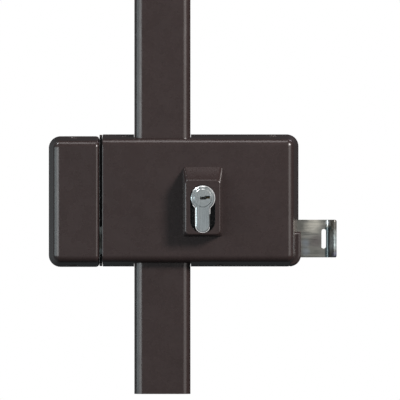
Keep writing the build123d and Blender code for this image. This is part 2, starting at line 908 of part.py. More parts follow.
with BuildPart() as outer_plug:
    add(plug(outer_face, plug_end_back, 0))
    with BuildSketch(Plane.XY.offset(-keyway_top / 2)):
        with Locations(*outer_bores):
            Circle(pin_r + run)
    extrude(amount=-plug_r, mode=Mode.SUBTRACT)

with BuildPart() as inner_key_pins:
    with BuildSketch(Plane.YZ.offset(key_pin_end - key_pin_length)):
        with Locations(*inner_bores):
            Circle(pin_r)
    extrude(amount=key_pin_length)

with BuildPart() as outer_key_pins:
    with BuildSketch(Plane.XY.offset(-key_pin_end)):
        with Locations(*outer_bores):
            Circle(pin_r)
    extrude(amount=key_pin_length)


def driver_pins(bores):
    """Pins that stand in the body's chambers just below the plug."""
    with BuildPart() as pins:
        with BuildSketch(Plane.XY.offset(-plug_r - 2 * run)):
            with Locations(*bores):
                Circle(pin_r)
        extrude(amount=-driver_pin_length)
    return pins.part


def pin_springs(bores):
    """Chamber springs as plain sleeves between the driver pins and the chamber floors."""
    top = -plug_r - 3 * run - driver_pin_length
    bottom = cylinder_bottom + chamber_floor + run
    with BuildPart() as springs:
        with BuildSketch(Plane.XY.offset(bottom)):
            with Locations(*bores):
                Circle(pin_r - run)
                Circle(pin_r / 2, mode=Mode.SUBTRACT)
        extrude(amount=top - bottom)
    return springs.part


with BuildPart() as inner_driver_pins:
    add(driver_pins([(0, y) for y in inner_pin_places]))

with BuildPart() as outer_driver_pins:
    add(driver_pins(outer_bores))

with BuildPart() as inner_pin_springs:
    add(pin_springs([(0, y) for y in inner_pin_places]))

with BuildPart() as outer_pin_springs:
    add(pin_springs(outer_bores))

with BuildPart() as inner_plug_clip:
    add(
        split_ring(
            clip_groove_r + snug,
            clip_outer_r,
            plug_end_front + clip_inset + run,
            clip_thickness - 2 * run,
            0,
        )
    )

with BuildPart() as outer_plug_clip:
    add(
        split_ring(
            clip_groove_r + snug,
            clip_outer_r,
            plug_end_back - clip_inset - clip_thickness + run,
            clip_thickness - 2 * run,
            0,
        )
    )

with BuildPart() as toothed_cam:
    with BuildSketch(front(cam_back)):
        cam_phase = 180 / cam_teeth
        add(gear_face(cam_teeth, full_addendum, wheel_addendum + root_clearance, cam_phase))
        Circle(nose_r + run, mode=Mode.SUBTRACT)
    extrude(amount=cam_width)

with BuildPart() as cam_coupling:
    coupling_back = plug_end_back + nose_length + gap
    coupling_front = plug_end_front - nose_length - gap
    with BuildSketch(front(coupling_back)):
        Circle(nose_r)
        Rectangle(coupling_slot, 3 * nose_r, mode=Mode.SUBTRACT)
        Rectangle(3 * nose_r, coupling_slot, mode=Mode.SUBTRACT)
    extrude(amount=coupling_front - coupling_back)
    with BuildSketch(front(cam_depth - coupling_web / 2)):
        Circle(nose_r)
    extrude(amount=coupling_web)

# Bracket on the base plate, and the screw that fastens the cylinder to it
with BuildPart() as cylinder_bracket:
    bracket_left = cylinder_stem_width / 2 + snug
    bracket_middle = bracket_bottom + bracket_height / 2
    bracket_rivet_place = (bracket_left + bracket_rivet_offset, bracket_middle)
    with BuildSketch(Plane.XY.offset(bracket_bottom)):
        with BuildLine():
            Polyline(
                (bracket_left, -plate_thickness),
                (bracket_left, -bracket_reach),
                (bracket_left + bracket_thickness, -bracket_reach),
                (bracket_left + bracket_thickness, -plate_thickness - bracket_thickness),
                (bracket_left + bracket_foot, -plate_thickness - bracket_thickness),
                (bracket_left + bracket_foot, -plate_thickness),
                close=True,
            )
        make_face()
    extrude(amount=bracket_height)
    with BuildSketch(Plane.YZ.offset(bracket_left)):
        with Locations((-cam_depth, cylinder_screw_z)):
            Circle(cylinder_screw_r + snug)
    extrude(amount=bracket_thickness, mode=Mode.SUBTRACT)
    with BuildSketch(front(plate_thickness)):
        with Locations(bracket_rivet_place):
            Circle(rivet_r)
    extrude(amount=2 * bracket_thickness, mode=Mode.SUBTRACT)

with BuildPart() as bracket_rivet:
    with BuildSketch(front(plate_thickness)):
        with Locations(bracket_rivet_place):
            Circle(rivet_r - snug / 2)
    extrude(amount=bracket_thickness)
    with BuildSketch(front(plate_thickness + bracket_thickness)):
        with Locations(bracket_rivet_place):
            Circle(rivet_head_r)
    extrude(amount=rivet_head)

with BuildPart() as cylinder_screw:
    screw_seat = bracket_left + bracket_thickness
    with BuildSketch(Plane.YZ.offset(screw_seat)):
        with Locations((-cam_depth, cylinder_screw_z)):
            Circle(cylinder_screw_head_r)
    extrude(amount=cylinder_screw_head)
    with BuildSketch(Plane.YZ.offset(screw_seat + cylinder_screw_head)):
        with Locations((-cam_depth, cylinder_screw_z)):
            RegularPolygon(hex_socket_r, 6)
    extrude(amount=-hex_socket_depth, mode=Mode.SUBTRACT)
    with BuildSketch(Plane.YZ.offset(screw_seat)):
        with Locations((-cam_depth, cylinder_screw_z)):
            Circle(cylinder_screw_r)
    extrude(amount=-cylinder_screw_length)

# Lip on the case's right side, in front of the pull tab and below it
case_hood = (case_left, case_right, case_bottom, case_top, case_depth, case_left, Keep.TOP)
with BuildPart() as side_lip:
    lip_left = case_right - side_lip_root
    lip_right = case_right + side_lip_reach
    with BuildSketch(front(0)):
        with Locations((lip_right - outline_corner, (case_bottom + case_top) / 2)):
            RectangleRounded(2 * outline_corner + run, case_top - case_bottom, outline_corner)
        with Locations(((lip_left + lip_right) / 2, (case_bottom + side_lip_top) / 2)):
            lip_width = lip_right - lip_left
            Rectangle(lip_width, side_lip_top - case_bottom, mode=Mode.INTERSECT)
    extrude(amount=side_lip_depth)
    lip_rim = side_lip.faces().sort_by(Axis.Y)[0].edges()
    fillet(lip_rim.filter_by(lambda e: e.center().X > lip_left + run), side_lip_round)
    add(
        hood(
            lip_left,
            lip_right + 2 * outline_corner,
            case_bottom,
            case_top,
            case_depth,
            outline_corner,
            lip_left,
            Keep.TOP,
        ),
        mode=Mode.INTERSECT,
    )
    add(hood_room(*case_hood), mode=Mode.SUBTRACT)

# Case cover with its windows for the bolts, the pull tab, the cylinder and the rod covers
cover_screw_seat = inset_at(cover_screw_depth, case_wall) - cover_screw_floor
with BuildPart() as case_cover:
    add(hood_cover(*case_hood, case_joint_round))
    add(side_lip.part)
    with BuildSketch(front(case_depth - 2 * case_wall)):
        add(profile_face(gap))
    extrude(amount=3 * case_wall, mode=Mode.SUBTRACT)
    with BuildSketch(Plane.YZ.offset(case_left - past)):
        window_top = deadbolt_top + 2 * gap
        window_bottom = latch_bottom - 2 * gap
        with Locations((-bolt_window_depth / 2, (window_top + window_bottom) / 2)):
            Rectangle(bolt_window_depth, window_top - window_bottom)
        plate_cut = plate_thickness + gap
        with Locations((-plate_cut / 2, (ear_top + ear_bottom) / 2)):
            Rectangle(plate_cut, ear_top - ear_bottom)
    extrude(amount=case_wall + 2 * past, mode=Mode.SUBTRACT)
    with BuildSketch(Plane.YZ.offset(case_right - 3 * case_wall)):
        with Locations((strap_core, (tab_top + tab_bottom) / 2)):
            Rectangle(strap_thickness + 2 * gap, tab_top - tab_bottom + 2 * gap)
    extrude(amount=4 * case_wall, mode=Mode.SUBTRACT)
    notch_inset = inset_at(cover_depth, case_wall) + 2 * gap
    with BuildSketch(Plane.XY.offset(case_top - notch_inset)):
        add(channel_face(gap))
    extrude(amount=2 * notch_inset, mode=Mode.SUBTRACT)
    with BuildSketch(Plane.XY.offset(case_bottom + notch_inset)):
        add(channel_face(gap))
    extrude(amount=-2 * notch_inset, mode=Mode.SUBTRACT)
    top_screws = [(ear_x, -cover_screw_depth) for ear_x in top_ear_places]
    with BuildSketch(Plane.XY.offset(case_top - cover_screw_seat)):
        with Locations(*top_screws):
            Circle(cover_screw_head_r + screw_head_gap)
    extrude(amount=case_wall, mode=Mode.SUBTRACT)
    with BuildSketch(Plane.XY.offset(ear_top)):
        with Locations(*top_screws):
            Circle(cover_screw_r + run)
    extrude(amount=2 * case_wall, mode=Mode.SUBTRACT)
    with BuildSketch(Plane.XY.offset(case_bottom + cover_screw_seat)):
        with Locations((bottom_ear_place, -cover_screw_depth)):
            Circle(cover_screw_head_r + screw_head_gap)
    extrude(amount=-case_wall, mode=Mode.SUBTRACT)
    with BuildSketch(Plane.XY.offset(ear_bottom)):
        with Locations((bottom_ear_place, -cover_screw_depth)):
            Circle(cover_screw_r + run)
    extrude(amount=-2 * case_wall, mode=Mode.SUBTRACT)
    with BuildSketch(front(case_depth - 2 * case_wall)):
        with Locations((-guard_screw_x, guard_screw_z), (guard_screw_x, guard_screw_z)):
            Circle(guard_screw_r + run)
    extrude(amount=3 * case_wall, mode=Mode.SUBTRACT)

with BuildPart() as case_cover_screws:
    top_seat = case_top - cover_screw_seat
    bottom_seat = case_bottom + cover_screw_seat
    top_places = [
        Location((ear_x, -cover_screw_depth, top_seat)) for ear_x in top_ear_places
    ]
    under = Location((bottom_ear_place, -cover_screw_depth, bottom_seat), (180, 0, 0))
    with Locations(*top_places, under):
        add(cover_screw())

# Cylinder guard: raised block with a sloped top and a round-ended recess for the cylinder
guard_front = case_depth + guard_height
with BuildPart() as cylinder_guard:
    with BuildSketch(front(case_depth)):
        with Locations((0, (guard_base_top + guard_base_bottom) / 2)):
            height = guard_base_top - guard_base_bottom
            RectangleRounded(2 * guard_base_half_width, height, guard_base_corner)
    with BuildSketch(front(guard_front)):
        with Locations((0, (guard_face_top + guard_face_bottom) / 2)):
            height = guard_face_top - guard_face_bottom
            RectangleRounded(2 * guard_face_half_width, height, guard_face_corner)
    loft(ruled=True)
    fillet(cylinder_guard.faces().sort_by(Axis.Y)[0].edges(), guard_edge)
    with BuildSketch(front(case_depth)):
        with Locations((0, (guard_recess_top + guard_recess_bottom) / 2)):
            height = guard_recess_top - guard_recess_bottom
            SlotOverall(height, guard_recess_width, rotation=90)
    extrude(amount=guard_height, mode=Mode.SUBTRACT)
    with BuildSketch(front(case_depth)):
        with Locations((-guard_screw_x, guard_screw_z), (guard_screw_x, guard_screw_z)):
            Circle(guard_screw_r + snug)
    extrude(amount=guard_screw_bite + gap, mode=Mode.SUBTRACT)

with BuildPart() as guard_screws:
    head_depth = case_depth - case_wall
    with BuildSketch(front(head_depth)):
        with Locations((-guard_screw_x, guard_screw_z), (guard_screw_x, guard_screw_z)):
            Circle(guard_screw_head_r)
    extrude(amount=-guard_screw_head)
    with BuildSketch(front(head_depth)):
        with Locations((-guard_screw_x, guard_screw_z), (guard_screw_x, guard_screw_z)):
            Circle(guard_screw_r)
    extrude(amount=case_wall + guard_screw_bite)


# Rod covers: channels that start inside the case and end around their guide blocks
def side_seat(side, screw_z):
    """Plane on a rod cover's side wall, facing away from the rod, where a screw sits."""
    at = (rod_x + side * cover_width / 2, -side_screw_depth, screw_z)
    return Plane(at, z_dir=(side, 0, 0))


def rod_cover(start, end):
    """Channel open on the door's side, with one screw hole in each side wall."""
    way = 1 if end > start else -1
    screw_z = end - way * (guide_inset + guide_thickness / 2)
    with BuildPart() as channel:
        with BuildSketch(Plane.XY.offset(start)):
            add(channel_face(0))
        extrude(amount=end - start)
        with BuildSketch(Plane.XY.offset(start)):
            add(channel_face(-cover_wall))
        extrude(amount=end - start, mode=Mode.SUBTRACT)
        for side in (-1, 1):
            with Locations(side_seat(side, screw_z)):
                CounterSinkHole(
                    side_screw_r + run,
                    side_screw_head_r + run,
                    2 * cover_wall,
                    counter_sink_angle=90,
                )
    return channel.part


def rod_guide(end, way):
    """Moulded block around a rod near the end of its cover, screwed to the door."""
    half = cover_width / 2 - cover_wall - gap
    depth = cover_depth - cover_wall - gap
    start = end - way * (guide_inset + guide_thickness)
    middle = start + way * guide_thickness / 2
    with BuildPart() as block:
        with BuildSketch(Plane.XY.offset(start)):
            with Locations((rod_x, -depth / 2)):
                Rectangle(2 * half, depth)
        extrude(amount=way * guide_thickness)
        fillet(block.edges().filter_by(Axis.Z).group_by(Axis.Y)[0], cover_round - cover_wall)
        with BuildSketch(Plane.XY.offset(start)):
            with Locations((rod_x, -rod_depth)):
                Circle(rod_r + run)
        extrude(amount=way * guide_thickness, mode=Mode.SUBTRACT)
        with Locations(Plane((rod_x, -depth, middle), x_dir=(1, 0, 0), z_dir=(0, -1, 0))):
            with Locations((guide_hole_inset - half, 0), (half - guide_hole_inset, 0)):
                CounterBoreHole(guide_hole_r, guide_head_r, guide_head_depth)
        with BuildSketch(Plane.YZ.offset(rod_x - half)):
            with Locations((-side_screw_depth, middle)):
                Circle(side_screw_r + snug)
        extrude(amount=side_screw_length - cover_wall, mode=Mode.SUBTRACT)
        with BuildSketch(Plane.YZ.offset(rod_x + half)):
            with Locations((-side_screw_depth, middle)):
                Circle(side_screw_r + snug)
        extrude(amount=-side_screw_length + cover_wall, mode=Mode.SUBTRACT)
    return block.part


with BuildPart() as upper_rod_cover:
    add(rod_cover(case_top - cover_tuck, upper_cover_end))

with BuildPart() as lower_rod_cover:
    add(rod_cover(case_bottom + cover_tuck, lower_cover_end))

with BuildPart() as upper_rod_guide:
    add(rod_guide(upper_cover_end, 1))

with BuildPart() as lower_rod_guide:
    add(rod_guide(lower_cover_end, -1))

with BuildPart() as rod_cover_screws:
    reach = guide_inset + guide_thickness / 2
    for screw_z in (upper_cover_end - reach, lower_cover_end + reach):
        for side in (-1, 1):
            with Locations(side_seat(side, screw_z)):
                add(side_screw())

# Keeper bracket: folded plate on the frame with the window that takes both bolts
with BuildPart() as keeper_bracket:
    flange_right = keeper_right - case_wall - gap
    plate_edge = keeper_left + inset_at(plate_thickness, case_wall) + gap
    with BuildSketch(front(0)) as bracket_outline:
        middle = ((plate_edge + flange_right) / 2, (keeper_ear_top + keeper_ear_bottom) / 2)
        with Locations(middle):
            Rectangle(flange_right - plate_edge, keeper_ear_top - keeper_ear_bottom)
        fillet(bracket_outline.vertices().group_by(Axis.X)[0], plate_corner)
    extrude(amount=plate_thickness)
    flange_inset = inset_at(keeper_flange_reach, case_wall) + gap
    flange_height = keeper_top - keeper_bottom - 2 * flange_inset
    with BuildSketch(front(plate_thickness)):
        with Locations((flange_right - ear_thickness / 2, (keeper_top + keeper_bottom) / 2)):
            Rectangle(ear_thickness, flange_height)
    extrude(amount=keeper_flange_reach - plate_thickness)
    with BuildSketch(front(plate_thickness)):
        for ear_z in (keeper_ear_top - ear_thickness / 2, keeper_ear_bottom + ear_thickness / 2):
            with Locations((keeper_screw_x, ear_z)):
                Rectangle(ear_width, ear_thickness)
    extrude(amount=ear_reach - plate_thickness)
    with BuildSketch(Plane.XY.offset(keeper_ear_bottom)):
        with Locations((keeper_screw_x, -cover_screw_depth)):
            Circle(cover_screw_r + snug)
    extrude(amount=keeper_ear_top - keeper_ear_bottom, mode=Mode.SUBTRACT)
    with BuildSketch(Plane.YZ.offset(flange_right - ear_thickness)):
        window_height = window_top - window_bottom
        window_reach = bolt_window_depth - plate_thickness
        with Locations((-plate_thickness - window_reach / 2, (window_top + window_bottom) / 2)):
            Rectangle(window_reach, window_height)
    extrude(amount=ear_thickness, mode=Mode.SUBTRACT)
    with Locations(front(plate_thickness)):
        with Locations(
            (keeper_hole_column, keeper_hole_row),
            (keeper_hole_column + keeper_hole_spacing_x, keeper_hole_row),
            (keeper_hole_column, keeper_side_hole_top),
            (keeper_hole_column, keeper_side_hole_top - keeper_hole_spacing_z),
        ):
            CounterSinkHole(fixing_hole_r, fixing_head_r, counter_sink_angle=90)

with BuildPart() as keeper_cover:
    add(
        hood_cover(
            keeper_left,
            keeper_right,
            keeper_bottom,
            keeper_top,
            keeper_depth,
            keeper_right,
            Keep.BOTTOM,
            keeper_joint_round,
        )
    )
    with BuildSketch(Plane.YZ.offset(keeper_right - case_wall - past)):
        with Locations((-plate_thickness - window_reach / 2, (window_top + window_bottom) / 2)):
            Rectangle(window_reach, window_height)
    extrude(amount=case_wall + 2 * past, mode=Mode.SUBTRACT)
    screw_place = (keeper_screw_x, -cover_screw_depth)
    for sign, edge in ((1, keeper_top), (-1, keeper_bottom)):
        with BuildSketch(Plane.XY.offset(edge - sign * cover_screw_seat)):
            with Locations(screw_place):
                Circle(cover_screw_head_r + screw_head_gap)
        extrude(amount=sign * case_wall, mode=Mode.SUBTRACT)
        with BuildSketch(Plane.XY.offset(edge - sign * 3 * case_wall)):
            with Locations(screw_place):
                Circle(cover_screw_r + run)
        extrude(amount=sign * 3 * case_wall, mode=Mode.SUBTRACT)

with BuildPart() as keeper_cover_screws:
    over = Location((keeper_screw_x, -cover_screw_depth, keeper_top - cover_screw_seat))
    under = Location(
        (keeper_screw_x, -cover_screw_depth, keeper_bottom + cover_screw_seat), (180, 0, 0)
    )
    with Locations(over, under):
        add(cover_screw())

# Labels and files
pieces = {
    "base_plate": base_plate,
    "gear_stud": gear_stud,
    "stud_washer": stud_washer,
    "stud_circlip": stud_circlip,
    "drive_wheel": drive_wheel,
    "drive_pinion": drive_pinion,
    "upper_rack": upper_rack,
    "lower_rack": lower_rack,
    "upper_rod": upper_rod,
    "lower_rod": lower_rod,
    "upper_rod_rivets": upper_rod_rivets,
    "lower_rod_rivets": lower_rod_rivets,
    "deadbolt": deadbolt,
    "latch_head": latch_head,
    "latch_strap": latch_strap,
    "latch_rivets": latch_rivets,
    "spring_rod": spring_rod,
    "latch_spring": latch_spring,
    "strap_guide": strap_guide,
    "bolt_guide": bolt_guide,
    "bolt_guide_rivet": bolt_guide_rivet,
    "cylinder_body": cylinder_body,
    "inner_plug": inner_plug,
    "outer_plug": outer_plug,
    "inner_key_pins": inner_key_pins,
    "outer_key_pins": outer_key_pins,
    "inner_driver_pins": inner_driver_pins,
    "outer_driver_pins": outer_driver_pins,
    "inner_pin_springs": inner_pin_springs,
    "outer_pin_springs": outer_pin_springs,
    "inner_plug_clip": inner_plug_clip,
    "outer_plug_clip": outer_plug_clip,
    "toothed_cam": toothed_cam,
    "cam_coupling": cam_coupling,
    "cylinder_bracket": cylinder_bracket,
    "bracket_rivet": bracket_rivet,
    "cylinder_screw": cylinder_screw,
    "case_cover": case_cover,
    "case_cover_screws": case_cover_screws,
    "cylinder_guard": cylinder_guard,
    "guard_screws": guard_screws,
    "upper_rod_cover": upper_rod_cover,
    "lower_rod_cover": lower_rod_cover,
    "upper_rod_guide": upper_rod_guide,
    "lower_rod_guide": lower_rod_guide,
    "rod_cover_screws": rod_cover_screws,
    "keeper_bracket": keeper_bracket,
    "keeper_cover": keeper_cover,
    "keeper_cover_screws": keeper_cover_screws,
}
os.makedirs("parts", exist_ok=True)
for name, piece in pieces.items():
    piece.part.label = name
    export_step(piece.part, f"parts/{name}.step")
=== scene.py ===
import json
import math

import bmesh
import bpy
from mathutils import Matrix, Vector


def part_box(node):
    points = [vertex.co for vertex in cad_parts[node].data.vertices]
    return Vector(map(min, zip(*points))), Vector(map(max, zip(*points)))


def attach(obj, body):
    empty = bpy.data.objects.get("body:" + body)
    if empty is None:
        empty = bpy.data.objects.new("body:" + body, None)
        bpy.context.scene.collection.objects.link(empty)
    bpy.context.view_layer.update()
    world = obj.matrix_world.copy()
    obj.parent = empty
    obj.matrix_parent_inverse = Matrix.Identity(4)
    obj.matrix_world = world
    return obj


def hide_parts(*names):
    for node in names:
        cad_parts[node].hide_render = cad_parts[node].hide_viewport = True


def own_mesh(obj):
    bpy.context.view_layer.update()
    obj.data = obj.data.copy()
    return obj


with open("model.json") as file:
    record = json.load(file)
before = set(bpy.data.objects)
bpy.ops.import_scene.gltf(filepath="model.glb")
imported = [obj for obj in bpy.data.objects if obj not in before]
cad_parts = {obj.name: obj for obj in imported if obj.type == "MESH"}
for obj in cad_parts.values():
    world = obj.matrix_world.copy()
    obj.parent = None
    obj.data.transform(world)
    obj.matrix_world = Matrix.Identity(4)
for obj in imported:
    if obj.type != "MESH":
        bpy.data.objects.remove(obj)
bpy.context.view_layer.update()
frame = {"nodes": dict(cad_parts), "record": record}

MM = 0.001
WHITE = (1.0, 1.0, 1.0, 1.0)

# Camera: straight in front, as in the photograph. A pixel is 0.714 mm wide at SCALE_Y.
SIGHT_X = -1.93 * MM
SIGHT_Z = -1.43 * MM
SCALE_Y = -10 * MM
CAMERA_DISTANCE = 6.0
VIEW_WIDTH = 400 * 0.714 * MM
SENSOR = 36.0
CLIP_NEAR = 0.1
CLIP_FAR = 60.0

# Floor, in metres
FLOOR_Z = -0.162
FLOOR_FRONT = -2.2
FLOOR_BACK = 0.55
FLOOR_SIDE = 1.6

# Light of the surroundings: strength in front and behind, gain on the left, and tint. The
# strength changes over the front band of a direction's Y, and the gain over the left band of X.
FRONT_LEVEL = 0.165
BACK_LEVEL = 0.055
LEFT_GAIN = 4.6
SURROUND = (0.88, 0.965, 1.0, 1.0)
FRONT_BAND = (-0.95, -0.55)
LEFT_BAND = (-0.6, -0.1)

# Lights: bearing to the right and height in degrees, width and height in metres, power, colour
LIGHT_DISTANCE = 2.2
SOFTBOXES = {
    "key_right": (45, 24, (0.5, 0.5), 74, (1.0, 0.96, 0.93)),
    "strip_right": (42, -3, (1.5, 0.6), 4.6, (1.0, 0.98, 0.96)),
    "fill_left": (-33, 1, (1.3, 0.5), 11, (0.93, 0.98, 1.0)),
    "strip_left": (-70, 0, (1.6, 0.5), 8.5, (0.82, 0.97, 1.0)),
    "top": (4, 76, (0.4, 1.1), 6.5, (1.0, 0.95, 0.95)),
    "window_left": (-76, 58, (0.22, 0.22), 14, (0.94, 0.98, 1.0)),
    "rim_right": (140, 43, (0.6, 0.6), 6, (1.0, 0.90, 1.0)),
}

# Noise values between which a ramp or a range runs, and depths of bump
NOISE_LOW = 0.3
NOISE_HIGH = 0.7
PEEL_DEPTH = 0.05 * MM
WAVE_DEPTH = 0.3 * MM
STREAK_DEPTH = 0.04 * MM
GRAIN_DEPTH = 0.04 * MM
NYLON_DEPTH = 0.08 * MM

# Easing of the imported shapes
WELD = 1e-6
WELD_BEVELLED = 2e-7
FLAT_ANGLE = math.radians(0.5)
EDGE_ANGLE = math.radians(32)
CREASE_ANGLE = math.radians(38)
BEVEL_SEGMENTS = 2

# Keyway walls, painted near-black as shade: within this share of the plug's radius, and turned
# away from its axis
KEYWAY_REACH = 0.75
KEYWAY_TURN = 0.5

# Coil springs. The closed turns at both ends have a pitch given in wires.
LATCH_WIRE = 0.8 * MM
LATCH_TURNS = 15
PIN_PITCH = 4 * MM
PIN_COUNT = 5
PIN_WIRE = 0.35 * MM
PIN_TURNS = 11
PIN_INSET = 0.2 * MM
CLOSED_TURNS = 1.5
CLOSED_PITCH = 1.02
COIL_CREASE = math.radians(60)


class Nodes:
    """Short forms for adding nodes to a tree and linking them."""

    def __init__(self, tree):
        self.tree = tree

    def node(self, kind, **values):
        made = self.tree.nodes.new(kind)
        for key, value in values.items():
            setattr(made, key, value)
        return made

    def link(self, output, target):
        self.tree.links.new(output, target)

    def feed(self, value, target):
        """Link an output to a socket, or set a plain value on it."""
        if isinstance(value, bpy.types.NodeSocket):
            self.link(value, target)
        else:
            target.default_value = value

    def math(self, operation, *values):
        made = self.node("ShaderNodeMath", operation=operation)
        for value, target in zip(values, made.inputs):
            self.feed(value, target)
        return made.outputs["Value"]

    def apart(self, vector):
        """Components of a vector."""
        made = self.node("ShaderNodeSeparateXYZ")
        self.link(vector, made.inputs[0])
        return made.outputs

    def range(self, value, source, target, kind="LINEAR"):
        made = self.node("ShaderNodeMapRange", interpolation_type=kind)
        for key, number in zip(("From Min", "From Max", "To Min", "To Max"), (*source, *target)):
            made.inputs[key].default_value = number
        self.link(value, made.inputs["Value"])
        return made.outputs["Result"]

    def fade(self, value, near, far):
        """One up to the near value, falling smoothly to zero at the far one."""
        return self.range(value, (near, far), (1.0, 0.0), "SMOOTHSTEP")


class Shader(Nodes):
    """A principled material whose values come from object-space noise."""

    def __init__(self, name):
        self.material = bpy.data.materials.new(name)
        self.material.use_nodes = True
        super().__init__(self.material.node_tree)
        self.surface = self.tree.nodes["Principled BSDF"]
        self.space = self.node("ShaderNodeTexCoord").outputs["Object"]

    def set(self, **values):
        for key, value in values.items():
            self.surface.inputs[key.replace("_", " ")].default_value = value

    def noise(self, scale, detail, roughness=0.6, vector=None, distortion=0.0):
        made = self.node("ShaderNodeTexNoise")
        made.inputs["Scale"].default_value = scale
        made.inputs["Detail"].default_value = detail
        made.inputs["Roughness"].default_value = roughness
        made.inputs["Distortion"].default_value = distortion
        self.link(vector or self.space, made.inputs["Vector"])
        return made.outputs["Fac"]

    def streaks(self, scale):
        """Noise over object coordinates scaled apart along the axes, so that it runs in lines."""
        mapping = self.node("ShaderNodeMapping")
        mapping.inputs["Scale"].default_value = scale
        self.link(self.space, mapping.inputs["Vector"])
        return self.noise(scale=1.0, detail=3, vector=mapping.outputs["Vector"])

    def ramp(self, factor, *stops):
        made = self.node("ShaderNodeValToRGB")
        elements = made.color_ramp.elements
        while len(elements) < len(stops):
            elements.new(0.5)
        for element, (place, color) in zip(elements, stops):
            element.position = place
            element.color = (*color, 1.0)
        self.link(factor, made.inputs["Fac"])
        return made.outputs["Color"]

    def blend(self, factor, dark, light):
        """Ramp between two colours over the usual span of the noise."""
        return self.ramp(factor, (NOISE_LOW, dark), (NOISE_HIGH, light))

    def mix(self, factor, first, second, blend="MIX"):
        made = self.node("ShaderNodeMix", data_type="RGBA", blend_type=blend)
        self.feed(factor, made.inputs["Factor"])
        self.link(first, made.inputs[6])
        self.link(second, made.inputs[7])
        return made.outputs[2]

    def color(self, output):
        self.link(output, self.surface.inputs["Base Color"])

    def rough(self, factor, low, high):
        spread = self.range(factor, (NOISE_LOW, NOISE_HIGH), (low, high))
        self.link(spread, self.surface.inputs["Roughness"])

    def bump(self, *layers):
        """Chained bump layers, each a height output with its strength and depth in metres."""
        normal = None
        for height, strength, depth in layers:
            made = self.node("ShaderNodeBump")
            made.inputs["Strength"].default_value = strength
            made.inputs["Distance"].default_value = depth
            self.link(height, made.inputs["Height"])
            if normal:
                self.link(normal, made.inputs["Normal"])
            normal = made.outputs["Normal"]
        self.link(normal, self.surface.inputs["Normal"])

    def brushed(self, lines, strength):
        """Bump of bare metal: its streaks and a fine grain."""
        grain = self.noise(scale=900, detail=2, roughness=0.5)
        self.bump((lines, strength, STREAK_DEPTH), (grain, 0.05, GRAIN_DEPTH))


def scaled(color, factor):
    return tuple(value * factor for value in color)


def grey(value):
    return (value, value, value)


def enamel(name, dark, light, rough_low, rough_high):
    """Baked brown paint: faint blotches, a fine orange peel and uneven gloss."""
    s = Shader(name)
    base = s.ramp(s.noise(scale=38, detail=3), (0.34, dark), (0.66, light))
    speck = s.blend(s.noise(scale=520, detail=3), grey(0.90), grey(1.08))
    s.color(s.mix(1.0, base, speck, "MULTIPLY"))
    s.rough(s.noise(scale=110, detail=5), rough_low, rough_high)
    peel = s.noise(scale=1400, detail=2, roughness=0.5)
    wave = s.noise(scale=300, detail=2, roughness=0.5)
    s.bump((peel, 0.07, PEEL_DEPTH), (wave, 0.03, WAVE_DEPTH))
    s.set(Specular_IOR_Level=0.56)
    return s.material


def metal(name, dark, light, rough_low, rough_high, streak, stain=0.0, contrast=0.10, bump=0.10):
    """Bare or plated metal: streaks along one direction, cloudy tint and uneven gloss."""
    s = Shader(name)
    lines = s.streaks(streak)
    base = s.blend(s.noise(scale=70, detail=5), dark, light)
    tone = s.blend(lines, grey(1.0 - contrast), grey(1.0 + contrast / 2))
    colour = s.mix(1.0, base, tone, "MULTIPLY")
    if stain:
        tint = s.ramp(
            s.noise(scale=46, detail=3, distortion=0.6),
            (0.36, (0.62, 0.76, 0.84)),
            (0.50, (0.92, 0.93, 0.92)),
            (0.64, (1.0, 0.94, 0.80)),
        )
        colour = s.mix(stain, colour, s.mix(1.0, colour, tint, "MULTIPLY"))
    s.color(colour)
    s.rough(lines, rough_low, rough_high)
    s.brushed(lines, bump)
    s.set(Metallic=1.0)
    return s.material


def steel_with_painted_light(name, dark, light, rough_low, rough_high, streak, shade_line, painted_spots):
    """Bare steel as in metal, with painted light and shade: an upright line of painted shade
    along the bend, and soft spots of painted highlight, reflection and shade by place, reach and
    tint.

    The shade line is upright: its x, how far the painted shade reaches from it, its top and tint.
    """
    s = Shader(name)
    lines = s.streaks(streak)
    colour = s.blend(s.noise(scale=90, detail=5), dark, light)
    drift = s.noise(scale=120, detail=2, roughness=0.5)
    # Each spot paints a highlight, reflection or shade onto the steel, its edge wavering with the
    # drift noise
    for place, reach, tint in painted_spots:
        away = s.node("ShaderNodeVectorMath", operation="DISTANCE")
        s.link(s.space, away.inputs[0])
        away.inputs[1].default_value = place
        wavy = s.math("MULTIPLY_ADD", drift, reach * 0.8, away.outputs["Value"])
        near = s.fade(wavy, reach * 0.55, reach * 1.5)
        colour = s.mix(near, colour, s.blend(lines, scaled(tint, 0.95), tint))
    # Painted shade in an upright line along the bend, fading out above its top
    shade_x, shade_reach, shade_top, shade_tint = shade_line
    place = s.apart(s.space)
    off = s.math("ABSOLUTE", s.math("SUBTRACT", place["X"], shade_x))
    by_line = s.fade(off, shade_reach * 0.5, shade_reach)
    below = s.fade(place["Z"], shade_top - shade_reach, shade_top)
    line_shade = s.math("MULTIPLY", by_line, below)
    s.color(s.mix(line_shade, colour, s.blend(lines, scaled(shade_tint, 0.9), shade_tint)))
    s.rough(lines, rough_low, rough_high)
    s.brushed(lines, 0.1)
    s.set(Metallic=1.0)
    return s.material


def moulded(name, dark, light):
    """Moulded nylon: slight flow marks and a fine matt grain."""
    s = Shader(name)
    s.color(s.blend(s.noise(scale=60, detail=3, distortion=0.8), dark, light))
    s.rough(s.noise(scale=400, detail=3), 0.5, 0.66)
    s.bump((s.noise(scale=1100, detail=2, roughness=0.5), 0.18, NYLON_DEPTH))
    return s.material


# Streaks run along the axis with the lowest scale
FINE_X = (60, 2600, 2600)
FINE_Y = (2600, 60, 2600)
FINE_Z = (2600, 2600, 60)
ROLLED = (90, 900, 900)

